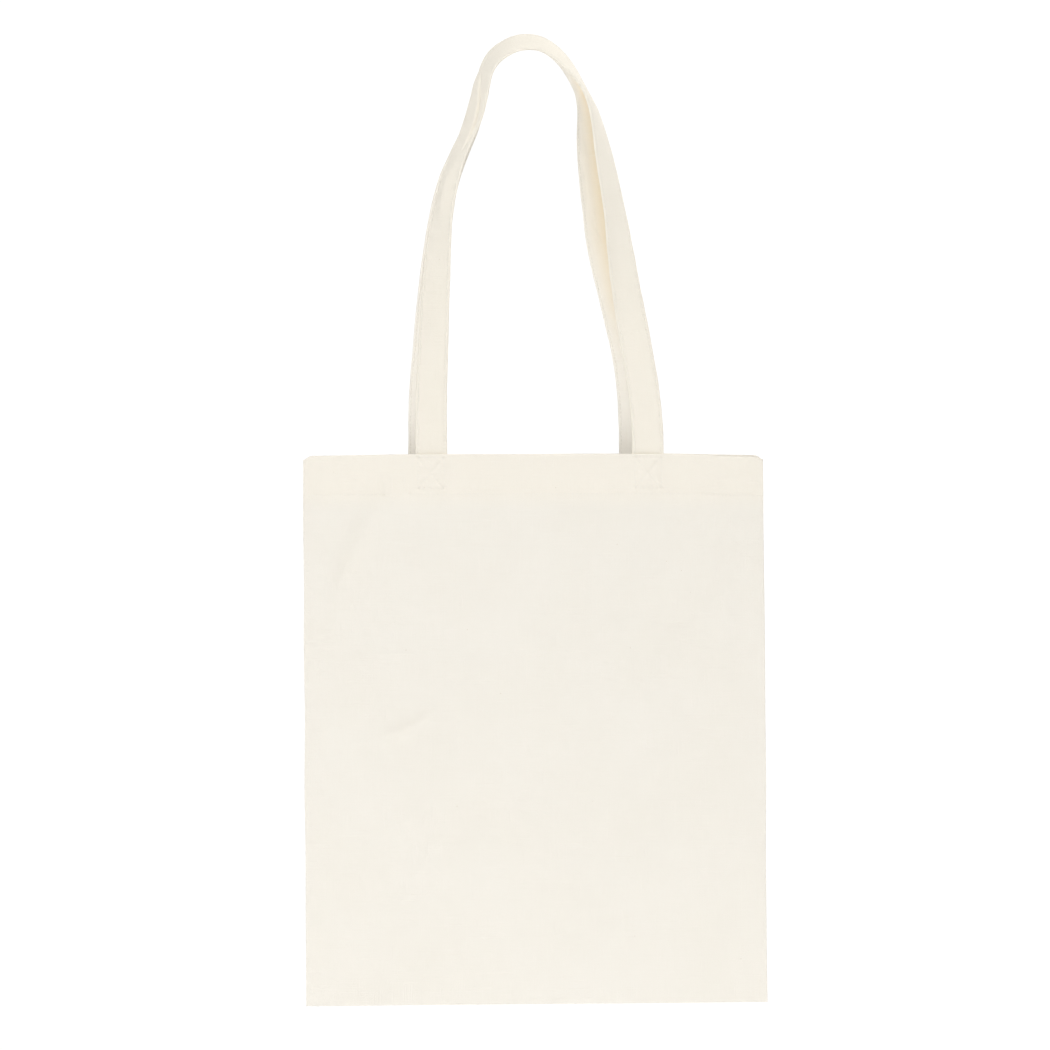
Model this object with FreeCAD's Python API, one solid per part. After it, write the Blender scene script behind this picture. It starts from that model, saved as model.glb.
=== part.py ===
import FreeCAD, Part
import math
import os

from FreeCAD import Vector

os.makedirs("parts", exist_ok=True)

# Canvas tote bag, hanging from its two handles.
# Frame: +Z up, +X to the right of the front face, front face towards -Y.
# Origin: the hang point, under the top of the handle arch, midway between the two handles.

# Driving dimensions, in millimetres and degrees
BAG_WIDTH = 360.0
BAG_HEIGHT = 430.0
MOUTH_DROP = 316.0          # hang point down to the top edge of the bag
MOUTH_BULGE = 14.0          # how far each panel bows out at the mouth
CLOTH = 0.8                 # one layer of canvas
HEM_DEPTH = 33.0            # turned top hem
SEAM_ALLOWANCE = 10.0       # panel edge turned inside, beyond the seam line
SEAM_INSET = 4.5            # seam stitching in from the bag's edge
STRAP_WIDTH = 25.0
STRAP_THICKNESS = 2.0
STRAP_END = 29.0            # strap sewn down inside the hem, below the mouth
ARCH_OFFSET = 13.0          # handle centre line to mid plane at the top of the arch
THREAD = 0.5                # width of a sewn thread line
THREAD_PROUD = 0.3          # height of a thread line above the cloth
CROSS_BOX = (21.0, 24.0)    # box-and-cross stitching, width and height
GAP = 0.1                   # between plies of cloth that lie against each other
BOW_ALLOWANCE = 0.3         # a flat strap end or stitch figure clear of the bowed hem

HALF_WIDTH = BAG_WIDTH / 2
MOUTH_Z = -MOUTH_DROP
BOTTOM_Z = MOUTH_Z - BAG_HEIGHT
FOLD = 1.0                          # cloth turned over at a seam
EDGE_INNER = 0.9                    # mid plane to a panel's inner face at its side edges
FLAP_OUTER = 0.75                   # mid plane to the outer face of a seam allowance
FLAP_INNER = 0.05                   # mid plane to its inner face
HEM_START = CLOTH + 2 * GAP         # outer face in to the turned layers
HEM_TOTAL = HEM_START + 2 * CLOTH - 2 * GAP
HEM_HALF_WIDTH = HALF_WIDTH - FOLD - SEAM_ALLOWANCE - 1.0

# Panel bow: distance below the mouth, and how far the panel stands out at its middle
BOW = [(0.0, MOUTH_BULGE), (HEM_DEPTH, 13.4), (150.0, 11.5), (285.0, 8.0),
       (385.0, 4.0), (420.0, 1.2), (BAG_HEIGHT, 0.3)]

# Handle centre lines: x, z and the turn of the strap out of the front plane.
# The strap's outer edge goes back as it turns on the front handle, and forward on the back one.
FRONT_ROUTE = [
    (-81.8, -315.0, 4), (-81.8, -295.0, 7), (-81.5, -265.0, 12), (-80.4, -240.0, 17),
    (-79.2, -208.0, 24), (-77.6, -178.0, 31), (-75.4, -147.0, 42), (-72.5, -125.0, 50),
    (-67.2, -101.0, 54), (-61.5, -84.5, 61), (-55.0, -69.0, 61), (-48.8, -53.0, 56),
    (-44.6, -37.5, 57), (-41.5, -24.0, 60), (-37.2, -13.0, 66), (-30.0, -3.0, 61),
    (-19.0, 4.5, 57), (-8.0, 7.2, 58), (3.0, 6.1, 61), (13.0, 0.8, 65),
    (22.0, -7.0, 70), (31.0, -18.0, 77), (38.3, -30.0, 83), (44.9, -45.0, 76),
    (49.1, -61.0, 69), (52.8, -78.0, 61), (57.6, -101.0, 53), (62.0, -125.0, 47),
    (65.3, -148.0, 37), (69.8, -179.0, 26), (75.2, -210.0, 16), (80.6, -240.0, 12),
    (85.3, -270.0, 8), (87.8, -297.0, 4), (88.0, -315.0, 4)]
BACK_ROUTE = [
    (-88.0, -315.0, -4), (-88.0, -295.0, -7), (-87.2, -265.0, -6), (-85.0, -240.0, 2),
    (-82.5, -208.0, 12), (-80.0, -178.0, 26), (-76.8, -147.0, 38), (-74.0, -125.0, 46),
    (-68.4, -101.0, 52), (-59.4, -78.0, 59), (-50.2, -58.0, 65), (-44.6, -38.0, 68),
    (-39.8, -15.0, 70), (-32.2, -1.5, 67), (-20.0, 6.2, 66), (-8.0, 8.9, 67),
    (3.2, 7.9, 69), (13.5, 2.2, 72), (22.2, -6.8, 75), (29.0, -18.0, 77),
    (35.0, -30.0, 74), (39.2, -45.0, 62), (40.5, -61.0, 51), (41.7, -78.0, 42),
    (44.2, -101.0, 37), (47.2, -125.0, 34), (50.2, -148.0, 31), (57.7, -179.0, 27),
    (66.0, -210.0, 20), (73.0, -240.0, 14), (76.8, -270.0, 8), (78.0, -297.0, 4),
    (78.2, -315.0, 4)]

# side -> sign of Y, handle route
SIDES = {"front": (-1.0, FRONT_ROUTE), "back": (1.0, BACK_ROUTE)}


def bow_at(below_mouth):
    """How far a panel stands out at its middle, at a distance below the mouth."""
    for (near, near_bow), (far, far_bow) in zip(BOW, BOW[1:]):
        if below_mouth <= far:
            share = (below_mouth - near) / (far - near)
            return near_bow + share * (far_bow - near_bow)
    return BOW[-1][1]


def panel_arc(x, bow):
    """Height of the panel's arc above its chord, at x."""
    half = HALF_WIDTH - FOLD
    radius = (half * half + bow * bow) / (2 * bow)
    return bow - radius + math.sqrt(radius * radius - x * x)


def panel_outer(x, below_mouth):
    """Mid plane to the outer face of a panel."""
    return EDGE_INNER + CLOTH + panel_arc(x, bow_at(below_mouth))


def crescent(sign, half, depth_in, thickness, below_mouth):
    """Closed outline, level at one height, of a layer that follows the panel's arc."""
    z = MOUTH_Z - below_mouth

    def arc(inset):
        points = []
        for x in (-half, 0.0, half):
            y = sign * (panel_outer(x, below_mouth) - inset)
            points.append(Vector(x, y, z))
        return Part.Arc(*points).toShape(), points[0], points[2]

    outer, outer_left, outer_right = arc(depth_in)
    inner, inner_left, inner_right = arc(depth_in + thickness)
    right = Part.makeLine(outer_right, inner_right)
    left = Part.makeLine(inner_left, outer_left)
    return Part.Wire(Part.__sortEdges__([outer, right, inner, left]))


def layer(sign, half, depth_in, thickness, heights):
    """A layer of cloth that follows the panel between the given distances below the mouth."""
    outlines = [crescent(sign, half, depth_in, thickness, h) for h in heights]
    return Part.makeLoft(outlines, True, True)


def block(x_range, y_range, z_range):
    """A box between two limits on each axis, given in either order."""
    low = [min(r) for r in (x_range, y_range, z_range)]
    size = [abs(r[1] - r[0]) for r in (x_range, y_range, z_range)]
    return Part.makeBox(*size, Vector(*low))


def save(name, shape):
    """Write one named piece."""
    for solid in shape.Solids:
        if not solid.isValid():
            raise ValueError(name + " has an invalid solid")
    shape.exportStep("parts/" + name + ".step")
    print(name, len(shape.Solids), "solids", round(shape.Volume / 1000, 2), "cm3")


def panel(sign):
    """One canvas panel with its turned hem and its seam allowances, in one piece."""
    cloth = layer(sign, HALF_WIDTH - FOLD, 0.0, CLOTH, [h for h, _ in BOW])
    hem = layer(sign, HEM_HALF_WIDTH, HEM_START, HEM_TOTAL - HEM_START, [0.0, HEM_DEPTH])
    hem_top = layer(sign, HEM_HALF_WIDTH, CLOTH / 2, HEM_START, [0.0, CLOTH])
    flap_y = (sign * FLAP_INNER, sign * FLAP_OUTER)
    fold_y = (sign * FLAP_INNER, sign * (EDGE_INNER + CLOTH - GAP))
    pieces = [hem, hem_top]
    for end in (-1.0, 1.0):
        edge = end * HALF_WIDTH
        inner_edge = end * (HALF_WIDTH - FOLD - SEAM_ALLOWANCE)
        pieces.append(block((inner_edge, edge), flap_y, (BOTTOM_Z, MOUTH_Z)))
        pieces.append(block((end * (HALF_WIDTH - 1.5 * FOLD), edge), fold_y, (BOTTOM_Z, MOUTH_Z)))
    across = (-HALF_WIDTH, HALF_WIDTH)
    pieces.append(block(across, flap_y, (BOTTOM_Z, BOTTOM_Z + SEAM_ALLOWANCE)))
    pieces.append(block(across, fold_y, (BOTTOM_Z, BOTTOM_Z + FOLD)))
    return cloth.fuse(pieces).removeSplitter()


def hem_stitching(sign):
    """The hem's sewn row: one line of thread on the outer face and one on the inner face."""
    below = HEM_DEPTH - 2.0
    rows = []
    for half, depth_in in ((HALF_WIDTH - 4.0, -THREAD_PROUD - GAP / 2),
                           (HEM_HALF_WIDTH - 2.0, HEM_TOTAL + GAP / 2)):
        outline = crescent(sign, half, depth_in, THREAD_PROUD, below)
        rows.append(Part.Face(outline).extrude(Vector(0, 0, -THREAD)))
    return Part.makeCompound(rows)


def on_hem(shape, sign, x, inset):
    """Move a shape built about the XZ plane onto the hem at x, parallel to the cloth there."""
    step = 1.0
    slope = panel_outer(x + step, 0.0) - panel_outer(x - step, 0.0)
    turn = math.degrees(math.atan2(sign * slope, 2 * step))
    y = sign * (panel_outer(x, HEM_DEPTH / 2) - inset)
    placed = shape.copy()
    placed.rotate(Vector(0, 0, 0), Vector(0, 0, 1), turn)
    placed.translate(Vector(x, y, 0))
    return placed


def handle_end(sign, x):
    """The end of a strap, sewn flat against the inside of the hem."""
    half = STRAP_WIDTH / 2
    thick = STRAP_THICKNESS / 2
    flat = block((-half, half), (-thick, thick), (MOUTH_Z - STRAP_END, MOUTH_Z + GAP))
    return on_hem(flat, sign, x, strap_inset())


def strap_inset():
    """Outer face of the hem in to the middle of a strap sewn inside it."""
    return HEM_TOTAL + BOW_ALLOWANCE + STRAP_THICKNESS / 2


def cross_stitch(sign, x):
    """Box-and-cross stitching that holds a strap end: a figure on each face of the hem."""
    wide, high = CROSS_BOX
    middle_z = MOUTH_Z - STRAP_END / 2
    diagonal = math.hypot(wide, high) - THREAD
    lean = math.degrees(math.atan2(high, wide))
    thick = (-THREAD_PROUD / 2, THREAD_PROUD / 2)
    line = THREAD / 2
    bars = []
    for end in (-1.0, 1.0):
        side_x = end * wide / 2
        level = end * high / 2
        bars.append(block((side_x - line, side_x + line), thick, (-high / 2 - line, high / 2 + line)))
        bars.append(block((-wide / 2, wide / 2), thick, (level - line, level + line)))
        slant = block((-diagonal / 2, diagonal / 2), thick, (-line, line))
        slant.rotate(Vector(0, 0, 0), Vector(0, 1, 0), end * lean)
        bars.append(slant)
    figure = bars[0].fuse(bars[1:]).removeSplitter()
    figure.translate(Vector(0, 0, middle_z))
    outside = on_hem(figure, sign, x, -THREAD_PROUD / 2 - BOW_ALLOWANCE)
    inside = on_hem(figure, sign, x, strap_inset() + STRAP_THICKNESS / 2 + THREAD_PROUD / 2 + GAP)
    return Part.makeCompound(outside.Solids + inside.Solids)


def strap_frames(sign, route):
    """Centre, outward width direction and face direction of a strap at each station."""
    points = []
    for x, z, turn in route:
        base = panel_outer(x, HEM_DEPTH / 2) - strap_inset()
        rise = (z - MOUTH_Z) / MOUTH_DROP
        rise = min(max(rise, 0.0), 1.0)
        points.append(Vector(x, sign * (base + rise * (ARCH_OFFSET - base)), z))
    frames = []
    for index, (x, z, turn) in enumerate(route):
        before = points[max(index - 1, 0)]
        after = points[min(index + 1, len(points) - 1)]
        along = Vector(after.x - before.x, 0, after.z - before.z)
        along.normalize()
        outward = Vector(-along.z, 0, along.x)
        angle = math.radians(turn)
        width = outward * math.cos(angle) + Vector(0, -sign, 0) * math.sin(angle)
        frames.append((points[index], width, along.cross(width)))
    return frames


def ribbon(frames, shift, lift, wide, thick):
    """A strip along a strap: shifted across its width and lifted off its middle plane."""
    outlines = []
    for centre, width, face in frames:
        middle = centre + width * shift + face * lift
        corners = []
        for across, up in ((-1, -1), (1, -1), (1, 1), (-1, 1)):
            corners.append(middle + width * (across * wide / 2) + face * (up * thick / 2))
        corners.append(corners[0])
        outlines.append(Part.makePolygon(corners))
    return Part.makeLoft(outlines, True, True)


def strap_stitching(frames):
    """Edge stitching: a line along both edges of the strap, on both of its faces."""
    edge = STRAP_WIDTH / 2 - 2.0
    lift = (STRAP_THICKNESS + THREAD_PROUD) / 2 + GAP / 2
    lines = []
    for shift in (-edge, edge):
        for face in (-lift, lift):
            lines.append(ribbon(frames, shift, face, THREAD, THREAD_PROUD))
    return Part.makeCompound(lines)


def side_seam_thread(end):
    """Thread of a side seam, through both seam allowances."""
    x = end * (HALF_WIDTH - SEAM_INSET)
    through = EDGE_INNER - GAP / 2
    heights = (BOTTOM_Z + SEAM_INSET, MOUTH_Z - HEM_DEPTH - 1.0)
    return block((x - THREAD / 2, x + THREAD / 2), (-through, through), heights)


def side_overlock(end):
    """Overlock thread that wraps the raw edges of a side seam's two allowances."""
    raw_edge = HALF_WIDTH - FOLD - SEAM_ALLOWANCE
    heights = (BOTTOM_Z + SEAM_ALLOWANCE + 3.0, MOUTH_Z - HEM_DEPTH - 1.0)
    wrap = []
    for sign in (-1.0, 1.0):
        y_range = (sign * (FLAP_OUTER + 0.03), sign * (EDGE_INNER - 0.02))
        wrap.append(block((end * (raw_edge - 0.4), end * (raw_edge + 4.0)), y_range, heights))
    reach = EDGE_INNER - 0.02
    web = block((end * (raw_edge - 0.4), end * (raw_edge - 0.1)), (-reach, reach), heights)
    return web.fuse(wrap).removeSplitter()


def bottom_seam_thread():
    """Thread of the bottom seam, through both seam allowances."""
    z = BOTTOM_Z + SEAM_INSET
    reach = HALF_WIDTH - SEAM_INSET - 1.5
    through = EDGE_INNER - GAP / 2
    return block((-reach, reach), (-through, through), (z - THREAD / 2, z + THREAD / 2))


def bottom_overlock():
    """Overlock thread that wraps the raw edges of the bottom seam's two allowances."""
    raw_edge = BOTTOM_Z + SEAM_ALLOWANCE
    reach = HEM_HALF_WIDTH
    wrap = []
    for sign in (-1.0, 1.0):
        y_range = (sign * (FLAP_OUTER + 0.03), sign * (EDGE_INNER - 0.02))
        wrap.append(block((-reach, reach), y_range, (raw_edge - 4.0, raw_edge + 0.4)))
    side = EDGE_INNER - 0.02
    web = block((-reach, reach), (-side, side), (raw_edge + 0.1, raw_edge + 0.4))
    return web.fuse(wrap).removeSplitter()


for side, (sign, route) in SIDES.items():
    save(side + "_panel", panel(sign))
    save(side + "_hem_stitching", hem_stitching(sign))
    frames = strap_frames(sign, route)
    save(side + "_handle", ribbon(frames, 0.0, 0.0, STRAP_WIDTH, STRAP_THICKNESS))
    save(side + "_handle_stitching", strap_stitching(frames))
    for hand, station in (("left", route[0]), ("right", route[-1])):
        save(side + "_handle_" + hand + "_end", handle_end(sign, station[0]))
        save(side + "_" + hand + "_cross_stitch", cross_stitch(sign, station[0]))

for hand, end in (("left", -1.0), ("right", 1.0)):
    save(hand + "_side_seam_thread", side_seam_thread(end))
    save(hand + "_side_overlock", side_overlock(end))
save("bottom_seam_thread", bottom_seam_thread())
save("bottom_overlock", bottom_overlock())
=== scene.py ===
import math

import bmesh
import bpy
import numpy as np
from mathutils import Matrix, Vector


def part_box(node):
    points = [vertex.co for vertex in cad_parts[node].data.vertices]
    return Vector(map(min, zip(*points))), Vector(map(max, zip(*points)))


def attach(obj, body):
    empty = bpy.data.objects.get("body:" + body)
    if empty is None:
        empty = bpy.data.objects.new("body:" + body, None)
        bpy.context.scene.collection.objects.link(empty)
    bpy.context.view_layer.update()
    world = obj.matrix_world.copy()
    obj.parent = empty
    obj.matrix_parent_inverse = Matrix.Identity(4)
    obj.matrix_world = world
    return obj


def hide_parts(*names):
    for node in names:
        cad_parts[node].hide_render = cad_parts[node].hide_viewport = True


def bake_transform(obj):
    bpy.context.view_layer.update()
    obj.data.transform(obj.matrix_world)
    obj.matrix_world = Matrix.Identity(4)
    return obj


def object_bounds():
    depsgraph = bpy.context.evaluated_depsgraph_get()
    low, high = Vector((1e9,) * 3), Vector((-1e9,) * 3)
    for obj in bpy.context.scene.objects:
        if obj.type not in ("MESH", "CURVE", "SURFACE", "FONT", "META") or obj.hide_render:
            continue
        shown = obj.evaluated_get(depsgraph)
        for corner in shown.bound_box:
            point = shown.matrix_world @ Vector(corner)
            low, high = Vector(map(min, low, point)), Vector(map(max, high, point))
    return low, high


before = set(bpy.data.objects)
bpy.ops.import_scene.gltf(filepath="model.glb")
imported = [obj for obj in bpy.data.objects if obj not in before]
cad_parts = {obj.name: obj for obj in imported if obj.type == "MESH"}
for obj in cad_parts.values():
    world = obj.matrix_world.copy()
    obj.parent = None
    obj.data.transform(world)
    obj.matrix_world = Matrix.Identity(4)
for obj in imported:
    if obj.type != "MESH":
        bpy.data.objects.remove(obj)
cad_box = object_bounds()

# Natural canvas tote bag hanging from its two handles.
# Metres, +Z up, front face towards -Y, origin under the top of the handle arch.

# ---------------------------------------------------------------- sizes from the frame

PANEL_LOW, PANEL_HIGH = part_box("front_panel")
HALF_WIDTH = (PANEL_HIGH.x - PANEL_LOW.x) / 2
MOUTH_Z = PANEL_HIGH.z
HEIGHT = PANEL_HIGH.z - PANEL_LOW.z
HANDLE_LOW, HANDLE_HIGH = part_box("front_handle")
ARCH_OFFSET = -(HANDLE_LOW.y + HANDLE_HIGH.y) / 2
STRAP_END = MOUTH_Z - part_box("front_handle_left_end")[0].z
HEM_ROW = MOUTH_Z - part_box("front_hem_stitching")[1].z

# ---------------------------------------------------------------- cloth and thread, in metres

CLOTH = 0.0005              # one layer of canvas
EDGE = 0.0011               # seam plane to a panel's middle surface at its side edges
BOW = -PANEL_LOW.y - EDGE - CLOTH
SEAM_ROLL = 0.0004          # radius of the turn at a seamed edge
SEAM_FLAP = 0.010           # seam allowance turned inside
SEAM_ROW = 0.0045           # seam stitching in from the bag's edge
HEM_DEPTH = HEM_ROW + 0.002
HEM_ROLL = 0.00055          # radius of the turn over the top of the hem
HEM_TUCK = 0.008            # raw edge turned under inside the hem
MOUTH_TILT = 0.0014         # the mouth hangs this much off level, in radians
BOTTOM_TILT = 0.0084        # and the bottom this much
MOUTH_SHIFT = -0.0019       # how far to the right the bag hangs at its mouth
BOTTOM_SHIFT = 0.0011       # and at its bottom
MOUTH_SPREAD = 0.0024       # the mouth has pulled out wider by this share
LOWER_SPREAD = 0.0052       # and the rest of the bag by this share
STRETCH = 0.0018            # the bag hangs this much longer than it was cut
BOW_FADE = 1.7, 0.9         # powers of the depth that close the bow towards the bottom
CORNER_DROP = 0.0032, 0.010     # the mouth's corners hang this much lower, over this width
STRAP_WIDTH = 0.025
STRAP_THICK = 0.0019
PLY_GAP = 0.0001            # between cloths that lie against each other
STRAP_GROOVE = 0.00026, 0.0005      # depth and half width of the groove along its stitching
BEND = 0.009                # length over which a folded handle bends above the mouth
FIGURE_WIDTH = 0.0205       # box-and-cross stitching
STITCH_EDGE = 0.0021        # edge stitching in from the edge of a strap
STITCH_PITCH = 0.0031
STITCH_LENGTH = 0.0025
THREAD = 0.0005             # sewing thread's diameter
SUNK = 0.00016              # how deep a handle's stitches lie in their groove
ROW_POINTS = 40             # points that a short sewn line is read at
SEAM_POINTS = 60            # and a seam
STRAP_POINTS = 700          # and the edge stitching of a strap
OVERLOCK_PITCH = 0.0026
OVERLOCK_REACH = 0.0042     # how far it goes in from the raw edge
OVERLOCK_PAST = 0.0004      # and how far past it
SEAM_GAP = 0.003            # a seam's thread and overlock stop this far from its end

# Waves in the cloth: their height, their length, and how many are added up
BROAD_WAVES = 0.0013, 0.16, 9
SMALL_WAVES = 0.00040, 0.055, 14
FINE_WAVES = 0.00010, 0.020, 18
HEM_PUCKERS = 0.00016, 0.011, 12
SIDE_PUCKERS = 0.00018, 0.013, 12
BOTTOM_PUCKERS = 0.00016, 0.013, 12
QUILTING = 0.00034, 0.007, 14
EDGE_WANDER = 0.0004, 0.09, 7
SWAY = 0.0020, 0.42, 6
STRAP_EDGE_WAVES = 0.00018, 0.016, 9
STRAP_BUCKLES = 0.0004, 0.07, 8
STRAP_CURL = 0.0007, 0.13, 5
EDGE_SEED, SWAY_SEED = 16, 90

# Lower corners of the bag: how far each curls in y, then the start and the length of the curl
# across from the middle, and down from the mouth
LEFT_CURL = -0.0042, (0.085, 0.095), (0.33, 0.10)
RIGHT_CURL = 0.0034, (0.095, 0.085), (0.35, 0.08)

# Mesh steps across and down a panel
WIDE_STEP = 0.0022
STRAP_STEP = 0.0010         # across the stretch where the straps are sewn
SEAM_STEP = 0.0012          # beside the seams
HEM_STEP = 0.0009           # down the hem
DOWN_STEP = 0.0020
STRAP_STRETCH = 0.066, 0.104
BESIDE_SEAM = 0.016
STATION_STEP = 0.0018       # along a strap
FOLD_STEP = 0.0005          # and where it folds
ROUTE_STEPS = 12            # points from one place on a handle's route to the next
ROUTE_SMOOTHINGS = 14       # how often those points are evened out

# Handle centre lines: x, z and the strap's turn out of the front plane, in degrees.
# The strap's outer edge goes back on the front handle, and forward on the back one.
FRONT_ROUTE = [
    (-.0818, -.3150, 4), (-.0818, -.2950, 7), (-.0815, -.2650, 12), (-.0804, -.2400, 17),
    (-.0792, -.2080, 24), (-.0776, -.1780, 31), (-.0754, -.1470, 42), (-.0725, -.1250, 50),
    (-.0672, -.1010, 54), (-.0615, -.0845, 61), (-.0550, -.0690, 61), (-.0488, -.0530, 56),
    (-.0446, -.0375, 57), (-.0415, -.0240, 60), (-.0372, -.0130, 66), (-.0300, -.0030, 61),
    (-.0190, .0045, 57), (-.0080, .0072, 58), (.0030, .0061, 61), (.0130, .0008, 65),
    (.0220, -.0070, 70), (.0310, -.0180, 77), (.0383, -.0300, 83), (.0449, -.0450, 76),
    (.0491, -.0610, 69), (.0528, -.0780, 61), (.0576, -.1010, 53), (.0620, -.1250, 47),
    (.0653, -.1480, 37), (.0698, -.1790, 26), (.0752, -.2100, 16), (.0806, -.2400, 12),
    (.0853, -.2700, 8), (.0878, -.2970, 4), (.0880, -.3150, 4)]
BACK_ROUTE = [
    (-.0880, -.3150, -4), (-.0880, -.2950, -7), (-.0872, -.2650, -6), (-.0850, -.2400, 2),
    (-.0825, -.2080, 12), (-.0800, -.1780, 26), (-.0768, -.1470, 38), (-.0740, -.1250, 46),
    (-.0684, -.1010, 52), (-.0594, -.0780, 59), (-.0502, -.0580, 65), (-.0446, -.0380, 68),
    (-.0398, -.0150, 70), (-.0322, -.0015, 67), (-.0200, .0062, 66), (-.0080, .0089, 67),
    (.0032, .0079, 69), (.0135, .0022, 72), (.0222, -.0068, 75), (.0290, -.0180, 77),
    (.0350, -.0300, 74), (.0392, -.0450, 62), (.0405, -.0610, 51), (.0417, -.0780, 42),
    (.0442, -.1010, 37), (.0472, -.1250, 34), (.0502, -.1480, 31), (.0577, -.1790, 27),
    (.0660, -.2100, 20), (.0730, -.2400, 14), (.0768, -.2700, 8), (.0780, -.2970, 4),
    (.0782, -.3150, 4)]


# ---------------------------------------------------------------- materials

WEAVE_PITCH = 0.00056       # one thread of the weave to the next
WEAVE_RELIEF = 0.00016
WARP_SLUB = 0.0011, 0.028   # size of a thick place in a thread, across and down
WEFT_SLUB = 0.034, 0.0012
SLUB_RELIEF = 0.00018
FUZZ_RELIEF = 0.00006
PLY_PITCH = 0.0005          # turn to turn of the plies in sewing thread
PLY_RELIEF = 0.00005
SEED_FLECK = (0.42, 0.30, 0.17, 1)      # the brown of a bit of cotton seed
BRIGHTEST = 0.97            # no channel of a dyed colour goes past this
FLOOR_GLOW = 0.40           # light that the floor gives off by itself

# What a cloth's colour is multiplied by
CLOUDED = (0.955, 0.945, 0.915)
SLUBBED = (1.045, 1.045, 1.045)
DOUBLED = (1.026, 1.012, 0.985)     # where the hem is behind it
THREAD_GAP_SHADE = (0.82, 0.78, 0.70)         # painted shade between the threads
PAINTED_INNER_LIGHT = (1.060, 1.082, 1.130)        # painted light: the back strap's inner face made paler and bluer, lifting the shade it lies in
PAINTED_GAP_SHADE = (0.945, 0.848, 0.682)     # and painted warm shade where it lies behind the front strap


def dyed(colour, factors):
    """A colour with each channel multiplied, as shader nodes take it."""
    return (*[min(c * f, BRIGHTEST) for c, f in zip(colour, factors)], 1)


class Shader:
    """Adds shader nodes to a new material and joins them."""

    def __init__(self, name):
        self.material = bpy.data.materials.new(name)
        self.material.use_nodes = True
        self.tree = self.material.node_tree
        self.surface = self.tree.nodes["Principled BSDF"]

    def add(self, kind, inputs=(), **settings):
        node = self.tree.nodes.new("ShaderNode" + kind)
        for key, value in settings.items():
            setattr(node, key, value)
        for key, value in dict(inputs).items():
            self.put(node, key, value)
        return node

    def put(self, node, key, value):
        if isinstance(value, bpy.types.NodeSocket):
            self.tree.links.new(value, node.inputs[key])
        else:
            node.inputs[key].default_value = value

    def math(self, operation, *values):
        node = self.add("Math", enumerate(values), operation=operation)
        return node.outputs[0]

    def ramp(self, value, low, high, to_low=0.0, to_high=1.0):
        inputs = {"Value": value, "From Min": low, "From Max": high,
                  "To Min": to_low, "To Max": to_high}
        return self.add("MapRange", inputs).outputs[0]

    def noise(self, vector, scale, detail=2.0, roughness=0.5):
        inputs = {"Vector": vector, "Scale": scale, "Detail": detail, "Roughness": roughness}
        return self.add("TexNoise", inputs).outputs["Fac"]

    def stretched(self, vector, x_size, y_size):
        """Coordinates in which noise features are about x_size by y_size metres."""
        inputs = {"Vector": vector, "Scale": (1 / x_size, 1 / y_size, 1.0)}
        return self.add("Mapping", inputs).outputs[0]

    def tint(self, factor, colour, other):
        node = self.add("Mix", data_type="RGBA")
        self.put(node, 0, factor)
        self.put(node, 6, colour)
        self.put(node, 7, other)
        return node.outputs[2]

    def bump(self, height, distance, strength, normal=None):
        node = self.add("Bump", {"Height": height, "Distance": distance, "Strength": strength})
        if normal is not None:
            self.put(node, "Normal", normal)
        return node.outputs[0]


def plain_weave(shader, cloth):
    """Height of plain weave: crossing threads, each over one and under the next."""
    wobble = shader.add("TexNoise", {"Vector": cloth, "Scale": 90.0, "Detail": 1.0})
    drift = shader.add("VectorMath", {0: wobble.outputs["Color"], 1: (0.0005, 0.0005, 0.0)},
                       operation="MULTIPLY").outputs[0]
    threads = shader.add("VectorMath", {0: cloth, 1: drift}, operation="ADD").outputs[0]
    axes = shader.add("SeparateXYZ", {0: threads})
    waves = []
    for axis in (0, 1):
        turns = shader.math("MULTIPLY", axes.outputs[axis], math.pi / WEAVE_PITCH)
        waves.append(shader.math("SINE", turns))
    profile = [shader.math("ABSOLUTE", wave) for wave in waves]
    warp_on_top = shader.math("GREATER_THAN", shader.math("MULTIPLY", *waves), 0.0)
    heights = []
    for across, along in (profile, profile[::-1]):
        crown = shader.math("MULTIPLY_ADD", along, 0.45, 0.55)
        heights.append(shader.math("MULTIPLY", across, crown))
    return shader.add("Mix", {0: warp_on_top, 2: heights[1], 3: heights[0]}).outputs[0]


def seed_flecks(shader, cloth):
    """Where the small brown bits of cotton seed are: in some of the cells, one to a cell."""
    cells = shader.add("TexVoronoi", {"Vector": cloth, "Scale": 85.0})
    pick = shader.add("SeparateColor", {0: cells.outputs["Color"]}).outputs[0]
    speck = shader.ramp(cells.outputs["Distance"], 0.020, 0.034, 1.0, 0.0)
    return shader.math("MULTIPLY", speck, shader.math("GREATER_THAN", pick, 0.55))


def painted_strap_shading(shader, cloth, base, colour, gap_shading):
    """A strap's inner face with painted light that makes it paler, and painted warm shade that grows
    across it between two places along it, where it lies behind the other strap.
    """
    axes = shader.add("SeparateXYZ", {0: cloth})
    (edge, far), (start, end) = gap_shading
    across = shader.ramp(axes.outputs[0], edge, far)
    rising = shader.ramp(axes.outputs[1], start, start + 0.03)
    falling = shader.ramp(axes.outputs[1], end - 0.05, end, 1.0, 0.0)
    # painted shade between the two straps
    gap_shade_mask = shader.math("MULTIPLY", across, shader.math("MULTIPLY", rising, falling))
    inner = shader.ramp(axes.outputs[0], edge - 0.004, edge - 0.002)
    base = shader.tint(inner, base, dyed(colour, PAINTED_INNER_LIGHT))
    return shader.tint(gap_shade_mask, base, dyed(colour, PAINTED_GAP_SHADE))


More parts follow.
